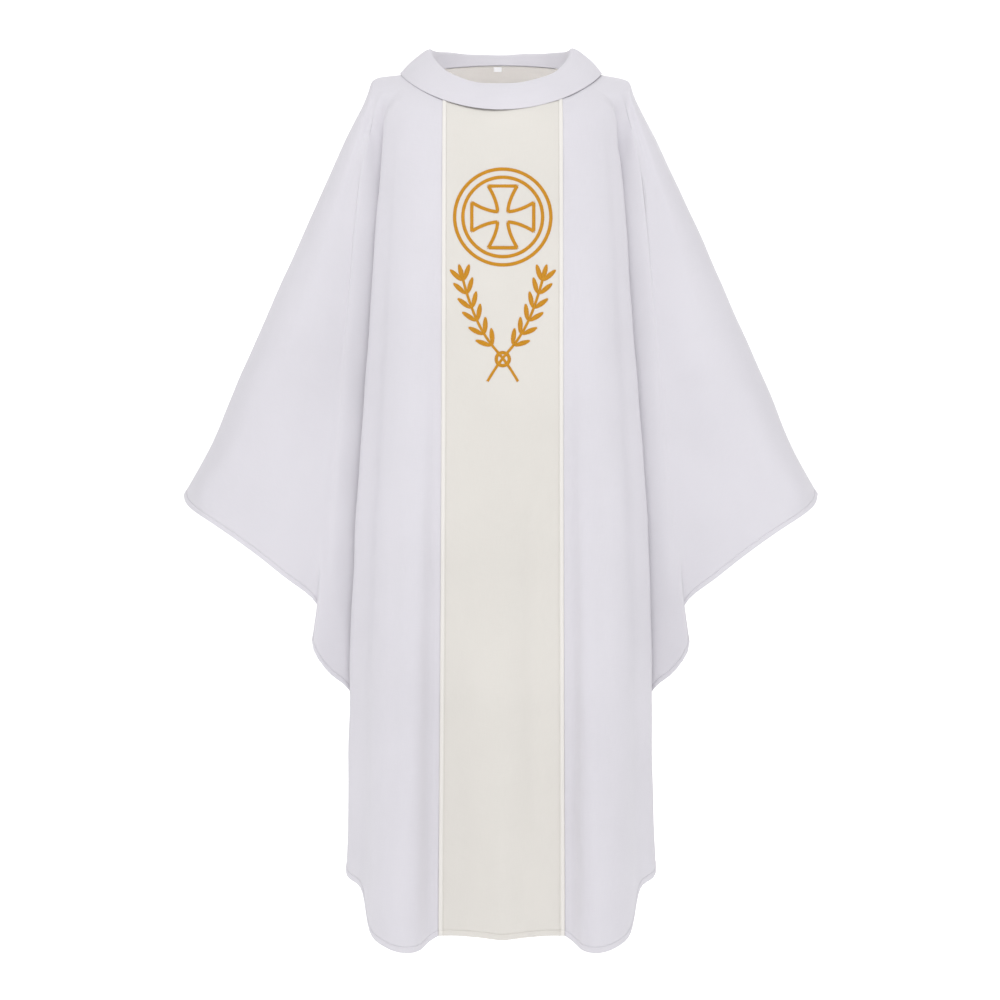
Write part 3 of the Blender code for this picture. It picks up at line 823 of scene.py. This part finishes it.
def add_edging(name, sheet, edge, material):
    """The rolled edging along one side of an orphrey, over its seam."""
    points, outward = at_distance(sheet, edge, EDGING_WIDTH / 2 - EDGING_OVERLAP)
    sideways = np.cross(unit(np.gradient(points, axis=0)), outward)
    turns = np.linspace(0, math.pi, EDGING_SECTION)
    foot, shoulder = EDGING_SIDE
    ring = [(math.cos(turn), math.sin(turn) ** EDGING_FULLNESS) for turn in turns[1:-1]]
    ring = [(1.0, foot), (1.0, shoulder), *ring, (-1.0, shoulder), (-1.0, foot)]
    half = EDGING_WIDTH / 2
    lines = np.array([points + sideways * x * half + outward * y * EDGING_HEIGHT for x, y in ring])
    sections, count = lines.shape[:2]
    index = np.arange(sections * count).reshape(sections, count)
    faces = []
    for k in range(sections):
        here, there = index[k], index[(k + 1) % sections]
        faces += np.stack([here[:-1], here[1:], there[1:], there[:-1]], axis=1).tolist()
    faces += [index[:, 0].tolist(), index[::-1, -1].tolist()]
    u = np.repeat(np.linspace(0, EDGING_WIDTH * EDGING_ROUND, sections), count)
    v = np.tile(lengths_along(points), sections)
    piece = mesh_piece(name, lines.reshape(-1, 3), faces, np.stack([u, v], axis=1), material)
    outwards_of(piece)
    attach(piece, "root")
    return piece


def outwards_of(piece):
    """Turns the faces of a closed mesh outwards."""
    mesh = bmesh.new()
    mesh.from_mesh(piece.data)
    bmesh.ops.recalc_face_normals(mesh, faces=mesh.faces)
    mesh.to_mesh(piece.data)
    mesh.free()


def ring_cycles(points, triangles, steps):
    """The collar's mesh as one closed loop of points for each step round the neck."""
    scale = np.abs(points[:, :2]).max(axis=0)
    turns = np.degrees(np.arctan2(points[:, 0] / scale[0], -points[:, 1] / scale[1])) % 360
    group = np.round(turns / (360 / steps)).astype(int) % steps
    following = {}
    for triangle in triangles:
        for a, b in zip(triangle, np.roll(triangle, -1)):
            if group[a] == group[b]:
                following.setdefault(a, set()).add(b)
                following.setdefault(b, set()).add(a)
    cycles = []
    for step in range(steps):
        members = np.flatnonzero(group == step)
        cycle = [members[0]]
        while len(cycle) < len(members):
            cycle.append(next(k for k in sorted(following[cycle[-1]]) if k not in cycle[-2:]))
        cycles.append(cycle)
    return cycles


def collar_grid(node):
    """The middle line of the collar's wall at each step round the neck, from its foot to its free edge."""
    points, _, triangles = welded(node)
    middle = []
    for cycle in ring_cycles(points, triangles, COLLAR_STEPS):
        loop = points[cycle]
        half = len(loop) // 2
        gaps = np.linalg.norm(np.roll(loop, -1, axis=0) - loop, axis=1)
        ends = min(range(half), key=lambda k: gaps[k] + gaps[k + half])
        loop = np.roll(loop, -ends - 1, axis=0)
        line = (loop[:half] + loop[half:][::-1]) / 2
        if np.linalg.norm(line[0, :2]) > np.linalg.norm(line[-1, :2]):
            line = line[::-1]
        middle.append(line)
    return np.array(middle)


def collar_surface():
    """The middle of the collar's cloth, its normals, and how far its rows are from the free edge."""
    coarse = collar_grid(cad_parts["collar"])
    steps = len(coarse)
    padded = np.concatenate([coarse[-ROUND_AGAIN:], coarse, coarse[:ROUND_AGAIN]])
    around = np.linspace(0, steps, COLLAR_FINE_STEPS + 1)[:-1]
    weights = curve_weights(np.arange(-ROUND_AGAIN, steps + ROUND_AGAIN, dtype=float), around)
    up = lengths_along(padded.swapaxes(0, 1)).mean(axis=1)
    rows = np.linspace(up[-1], COLLAR_ROWS_END, COLLAR_ROWS)
    from_edge = np.concatenate([rows, COLLAR_EDGE_ROWS])
    grid = np.einsum("ai,ijx,bj->abx", weights, padded, curve_weights(up, up[-1] - from_edge))
    wrapped = np.concatenate([grid[-2:], grid, grid[:2]])
    normals = unit(np.cross(np.gradient(wrapped, axis=1), np.gradient(wrapped, axis=0))[2:-2])
    radial = grid * np.array([1.0, 1.0, 0.0])
    if (normals * radial).sum() < 0:
        normals = -normals
    turn = around / steps * 2 * math.pi
    share = np.linspace(0, 1, grid.shape[1])
    ease = sum(wave.height * np.sin(wave.count * turn + wave.start) for wave in COLLAR_WAVES)
    height = ease[:, None] * np.sin(math.pi * share)
    lie = COLLAR_LIES_AT_SIDE + (COLLAR_LIES_AT_MIDDLE - COLLAR_LIES_AT_SIDE) * np.cos(turn) ** 2
    height -= lie[:, None] * smooth_step(1 - from_edge / COLLAR_LYING)
    return grid + normals * height[..., None], normals, from_edge


def add_collar(material):
    """The rolled collar: a doubled cloth that goes all the way round."""
    grid, normals, from_edge = collar_surface()
    inwards = 1 - np.clip(from_edge / COLLAR_ROUND, 0, 1)
    half = COLLAR_CLOTH / 2 * np.sqrt(np.clip(1 - inwards**2, COLLAR_EDGE_SHARE, 1))
    outside = grid + normals * half[None, :, None]
    inside = grid - normals * half[None, :, None]
    piece = wall_piece("collar_cloth", outside, inside, material, closed=True)
    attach(piece, "root")
    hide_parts("collar")
    closed = np.concatenate([grid, grid[:1]])
    length = lengths_along(closed.swapaxes(0, 1))[-1].max()


def on_the_orphrey(surface, x, z):
    """The point of the front orphrey's outer side straight behind (x, z), and the way out of it."""
    place, normal, _, _ = surface.ray_cast(Vector((x, -1.0, z)), Vector((0.0, 1.0, 0.0)))
    return np.array(place), np.array(normal if normal.y < 0 else -normal)


def ring_line(centre, radius, points):
    """A circle as a closed line."""
    turns = np.linspace(0, 2 * math.pi, points + 1)[:-1]
    return np.stack([centre[0] + radius * np.cos(turns), centre[1] + radius * np.sin(turns)], axis=1)


def turned_by(angle):
    """The matrix that turns flat points by an angle."""
    return np.array([[math.cos(angle), math.sin(angle)], [-math.sin(angle), math.cos(angle)]])


def flared_cross(centre, reach, waist, flare):
    """The outline of a cross with four like arms, each with hollow sides that widen to its end."""
    share = np.linspace(0, 1, CROSS_POINTS)
    outwards = waist + (reach - waist) * share
    side = np.stack([outwards, waist + (flare - waist) * share**CROSS_HOLLOW], axis=1)
    arm = np.concatenate([side * np.array([1, -1]), side[::-1]])[:-1]
    outline = []
    for quarter in range(4):
        outline.append(arm @ turned_by(quarter * math.pi / 2))
    return np.concatenate(outline) + np.array(centre)


def curved_line(points, count):
    """A smooth line through a few chosen points."""
    points = np.array(points)
    knots = lengths_along(points)
    return curve_weights(knots, np.linspace(0, knots[-1], count)) @ points


def wheat_ear(side):
    """One stalk with its grains in pairs, as lines and their widths."""
    mirror = np.array([side, 1.0])
    stalk = curved_line(STALK, STALK_POINTS)
    lines = [(stalk * mirror, np.full(len(stalk), STALK_WIDTH))]
    share = np.linspace(GRAIN_TIPS, 1 - GRAIN_TIPS, GRAIN_POINTS)
    widths = GRAIN_WIDTH * np.sin(math.pi * share) ** GRAIN_FULLNESS
    along = np.linspace(0, GRAIN_LENGTH, GRAIN_POINTS)[:, None]
    for pair in range(GRAINS):
        place = EAR_STARTS + (EAR_ENDS - EAR_STARTS) * pair / (GRAINS - 1)
        at = int(place * (len(stalk) - 2))
        heading = unit(stalk[at + 1] - stalk[at])
        turns = (-GRAIN_ANGLE, GRAIN_ANGLE)
        if pair == GRAINS - 1:
            turns += (0.0,)
        for turn in turns:
            out = heading @ turned_by(math.radians(turn))
            grain = stalk[at] + out * GRAIN_FROM_STALK + out * along
            lines.append((grain * mirror, widths))
    return lines


def embroidery_lines():
    """Every line of the embroidery round its own middle, with its widths and whether it is closed. A line
    without widths has the embroidery's usual one."""
    lines = [(ring_line(RING_CENTRE, radius, RING_POINTS), None, True) for radius in RING_RADII]
    lines.append((flared_cross(RING_CENTRE, **CROSS), None, True))
    lines.append((ring_line(TIE_CENTRE, TIE_RADIUS, TIE_POINTS), None, True))
    for side in (1, -1):
        lines += [(points, widths, False) for points, widths in wheat_ear(side)]
    return lines


def add_embroidery(cloth, tree, material):
    """The gold satin stitching on the front orphrey: a cross in a double ring, over two ears of wheat."""
    mesh = cloth.data
    corners = [vertex.co for vertex in mesh.vertices]
    surface = BVHTree.FromPolygons(corners, [tuple(face.vertices) for face in mesh.polygons])
    paths = []
    for line, widths, closed in embroidery_lines():
        if widths is None:
            widths = np.full(len(line), LINE_WIDTH)
        places = line + np.array(EMBROIDERY_MIDDLE)
        found = [on_the_orphrey(surface, x, z) for x, z in places]
        paths.append({
            "points": np.array([place for place, _ in found]),
            "outward": np.array([normal for _, normal in found]),
            "width": widths,
            "closed": closed,
        })
    return sewn("gold_embroidery", paths, tree, material, "gold_thread", **SATIN_STITCH)


def add_size_tag(material):
    """A blank woven tape, folded at its lower end, inside the back of the neck."""
    low, high = (np.array(corner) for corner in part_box("size_tag"))
    fold = (high[1] - low[1]) / 2 - TAPE_INSET
    height = high[2] - low[2]
    fold_top = low[2] + height * TAPE_FOLD_SHARE
    middle = (low[1] + high[1]) / 2
    turns = np.linspace(0, math.pi, TAPE_POINTS["fold"])[1:-1]
    flat = high[2] - height * np.linspace(0, 1 - TAPE_FOLD_SHARE, TAPE_POINTS["flat"])
    line = [(middle + fold, z) for z in flat]
    line += [(middle + fold * math.cos(turn), fold_top - fold * math.sin(turn)) for turn in turns]
    line += [(middle - fold, z) for z in flat[::-1]]
    line = curved_line(line, TAPE_POINTS["down"])
    across = np.linspace(low[0], high[0], TAPE_POINTS["across"])
    bow = TAPE_BOW * np.sin(np.linspace(0, math.pi, TAPE_POINTS["across"]))
    grid = np.array([[(x, y - b, z) for y, z in line] for x, b in zip(across, bow)])
    normals = outward_normals(grid, (0.0, 0.0, -1.0))
    half = normals * TAPE_THICKNESS / 2
    piece = wall_piece("size_tag_tape", grid + half, grid - half, material)
    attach(piece, "root")
    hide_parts("size_tag")
    return piece


def new_material(name, gloss):
    """A material, its tree and its shader, with these constants."""
    material = bpy.data.materials.new(name)
    material.use_nodes = True
    shader = material.node_tree.nodes["Principled BSDF"]
    for socket, value in gloss.items():
        shader.inputs[socket].default_value = value
    return material, material.node_tree, shader


def noise(tree, place, sizes):
    """The value of a noise at a place."""
    return add_node(tree, "ShaderNodeTexNoise", {"Vector": place, **sizes}).outputs["Fac"]


def raise_by(tree, shader, height, strength, distance):
    """Gives the shader a relief of this height."""
    relief = {"Height": height, "Strength": strength, "Distance": distance}
    bump = add_node(tree, "ShaderNodeBump", relief)
    tree.links.new(bump.outputs["Normal"], shader.inputs["Normal"])


def colour_by(tree, shader, value, colour, stops):
    """Colours the shader by a value, between two stops: a value, and the share of the colour there."""
    ramp = add_node(tree, "ShaderNodeValToRGB", {"Fac": value})
    for element, (place, share) in zip(ramp.color_ramp.elements, stops):
        element.position = place
        element.color = (*(min(1.0, channel * share) for channel in colour), 1)
    tree.links.new(ramp.outputs["Color"], shader.inputs["Base Color"])


def wear_by(tree, shader, value, roughness, worn):
    """Makes the shader a little less or more rough by a value."""
    (low, high), (less, more) = worn["from"], worn["by"]
    limits = {"From Min": low, "From Max": high, "To Min": roughness + less, "To Max": roughness + more}
    changed = add_node(tree, "ShaderNodeMapRange", {"Value": value, **limits})
    tree.links.new(changed.outputs["Result"], shader.inputs["Roughness"])


def weave_material(weave):
    """Plain-woven cloth: threads both ways on the piece's own layout, uneven in thickness and tone."""
    material, tree, shader = new_material(weave.name, CLOTH_GLOSS)
    layout = add_node(tree, "ShaderNodeUVMap", uv_map="weave").outputs["UV"]
    place = tree.nodes.new("ShaderNodeTexCoord").outputs["Object"]
    lines = {"Vector": layout, "Scale": weave.fineness, **WEAVE_LINES}
    bands = [add_node(tree, "ShaderNodeTexWave", lines, bands_direction=way) for way in "XY"]
    woven = reckon(tree, "MAXIMUM", *(band.outputs["Fac"] for band in bands))
    slubs = []
    for stretch in SLUB_STRETCHES:
        sizes = {0: layout, 1: stretch}
        stretched = add_node(tree, "ShaderNodeVectorMath", sizes, operation="MULTIPLY")
        slubs.append(noise(tree, stretched.outputs[0], SLUB_NOISE))
    both = reckon(tree, "ADD", *slubs)
    height = reckon(tree, "MULTIPLY_ADD", both, SLUB_HEIGHT, woven)
    raise_by(tree, shader, height, weave.relief, WEAVE_DEPTH)
    tones = reckon(tree, "MULTIPLY_ADD", both, SLUB_TONE, noise(tree, place, BROAD_NOISE))
    colour_by(tree, shader, tones, weave.colour, CLOTH_STOPS)
    wear_by(tree, shader, both, weave.roughness, CLOTH_WORN)
    return material


def thread_material(thread):
    """Twisted thread: fine streaks of tone, and a little more gloss than the cloth."""
    material, tree, shader = new_material(thread.name, THREAD_GLOSS)
    place = tree.nodes.new("ShaderNodeTexCoord").outputs["Object"]
    streaks = noise(tree, place, {"Scale": thread.fineness, **STREAK_NOISE})
    stops = zip(STREAK_STOPS, (1 - thread.tone, 1 + thread.tone))
    colour_by(tree, shader, streaks, thread.colour, stops)
    wear_by(tree, shader, streaks, thread.roughness, THREAD_WORN)
    raise_by(tree, shader, streaks, STREAK_RELIEF, STREAK_DEPTH)
    return material


def add_stage():
    """A pale floor that curves up into a plain backdrop."""
    turns = np.linspace(0, math.pi / 2, SWEEP_POINTS)
    line = [(STAGE_FRONT, FLOOR_HEIGHT)]
    line += [
        (STAGE_BACK - SWEEP + SWEEP * math.sin(turn), FLOOR_HEIGHT + SWEEP - SWEEP * math.cos(turn))
        for turn in turns
    ]
    line.append((STAGE_BACK, STAGE_TOP))
    points = [(x, y, z) for x in (-STAGE_HALF_WIDTH, STAGE_HALF_WIDTH) for y, z in line]
    count = len(line)
    faces = [(k, k + 1, k + 1 + count, k + count) for k in range(count - 1)]
    mesh = bpy.data.meshes.new("backdrop")
    mesh.from_pydata(points, [], [face[::-1] for face in faces])
    mesh.shade_smooth()
    gloss = {
        "Base Color": STAGE_COLOUR,
        "Roughness": STAGE_ROUGHNESS,
        "Emission Color": (1, 1, 1, 1),
        "Emission Strength": STAGE_GLOW,
    }
    mesh.materials.append(new_material("backdrop_paper", gloss)[0])
    backdrop = in_scene("backdrop", mesh)


def add_lights():
    """Even light from all round, and the soft boxes."""
    world = bpy.data.worlds.new("studio")
    world.use_nodes = True
    sky = world.node_tree.nodes["Background"]
    sky.inputs["Color"].default_value = (1, 1, 1, 1)
    sky.inputs["Strength"].default_value = WORLD_STRENGTH
    bpy.context.scene.world = world
    for number, box in enumerate(SOFT_BOXES):
        light = bpy.data.lights.new(f"soft_box_{number}", "AREA")
        light.shape = "SQUARE"
        light.size = box.size
        light.energy = box.power
        lamp = in_scene(light.name, light)
        lamp.location = box.place
        aim = Vector(box.aim) - Vector(box.place)
        lamp.rotation_euler = aim.to_track_quat("-Z", "Y").to_euler()


def add_camera():
    """A level camera in front of the garment."""
    camera = in_scene("camera", bpy.data.cameras.new("camera"))
    camera.data.lens = CAMERA_LENS
    camera.data.sensor_width = CAMERA_SENSOR
    camera.location = CAMERA_PLACE
    camera.rotation_euler = (math.pi / 2, 0, 0)
    bpy.context.scene.camera = camera


def main():
    """Builds the stage and every piece."""
    bpy.context.scene.view_settings.view_transform = "Standard"
    add_camera()
    add_lights()
    add_stage()
    white, cream, edging, tape = map(weave_material, (WHITE_CREPE, CREAM_CREPE, CREAM_EDGING, WOVEN_TAPE))
    threads = (WHITE_THREAD, CREAM_THREAD, GOLD_THREAD)
    white_thread, cream_thread, gold_thread = map(thread_material, threads)
    running = stitch_tree("running_stitch", across_path=False)
    satin = stitch_tree("satin_stitch", across_path=True)
    for side in ("left", "right"):
        for name, creases in (
            ("front_panel_", SHOULDER_CREASES + SLEEVE_CREASES + COLUMN_CREASES),
            ("back_panel_", BACK_CREASES),
        ):
            cloth, sheet = add_cloth(name + side, creases, white)
            thread = (running, white_thread, "white_crepe")
            stitches = sewn(name + side + "_hem", [hem_line(sheet)], *thread, **RUNNING_STITCH)
            declare(sheet.grid)
    orphreys = {"front_orphrey": ORPHREY_CREASES, "back_orphrey": BACK_ORPHREY_CREASES}
    for name, creases in orphreys.items():
        cloth, sheet = add_cloth(name, creases, cream, panel=False)
        lines = [hem_line(sheet)]
        for edge, end in ((0, "left"), (-1, "right")):
            add_edging(f"{name}_edging_{end}", sheet, edge, edging)
            lines.append(running_line(*at_distance(sheet, edge, EDGING_STITCHES)))
        thread = (running, cream_thread, "cream_crepe")
        sewn(name + "_stitches", lines, *thread, **RUNNING_STITCH)
        if name == "front_orphrey":
            add_embroidery(cloth, satin, gold_thread)
        else:
            add_size_tag(tape)
        declare(sheet.grid)
    add_collar(white)


main()
